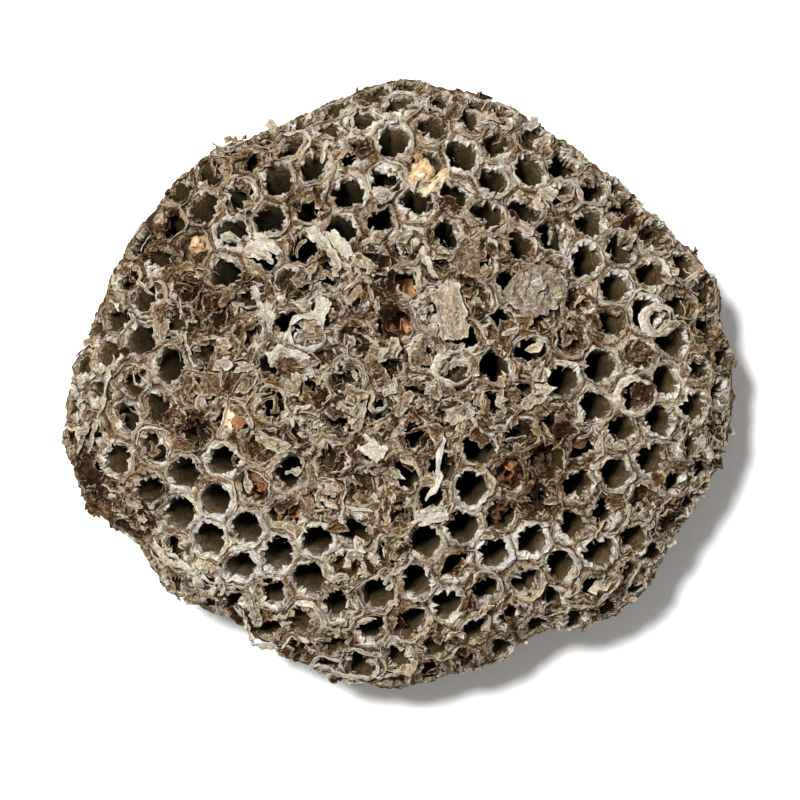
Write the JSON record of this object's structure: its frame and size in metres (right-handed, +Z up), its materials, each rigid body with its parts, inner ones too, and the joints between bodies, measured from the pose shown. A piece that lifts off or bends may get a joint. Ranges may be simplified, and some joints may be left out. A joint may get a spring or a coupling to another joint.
{
  "type": "hornet nest",
  "caption": "Domed paper comb of hexagon cells, open mouths up, with silk plugs and dried cocoons in some cells, cut flat at the small scar it rests on.",
  "frame": {"origin": "centre of the flat cut scar on the comb's back, where it rests", "axes": "+Z up out of the cell mouths, +X along the comb's longest width, to the picture's right"},
  "size_m": [0.1577, 0.1436, 0.0469],
  "materials": {
    "nest_paper": "matte",
    "cocoon": "matte",
    "silk": "matte"
  },
  "bodies": {
    "root": {"comb": "nest_paper", "dried_cocoon_1": "cocoon", "dried_cocoon_2": "cocoon", "dried_cocoon_3": "cocoon", "dried_cocoon_4": "cocoon", "dried_cocoon_5": "cocoon", "dried_cocoon_6": "cocoon", "dried_cocoon_7": "cocoon", "dried_cocoon_8": "cocoon", "silk_plug_1": "silk", "silk_plug_2": "silk"}
  },
  "joints": []
}
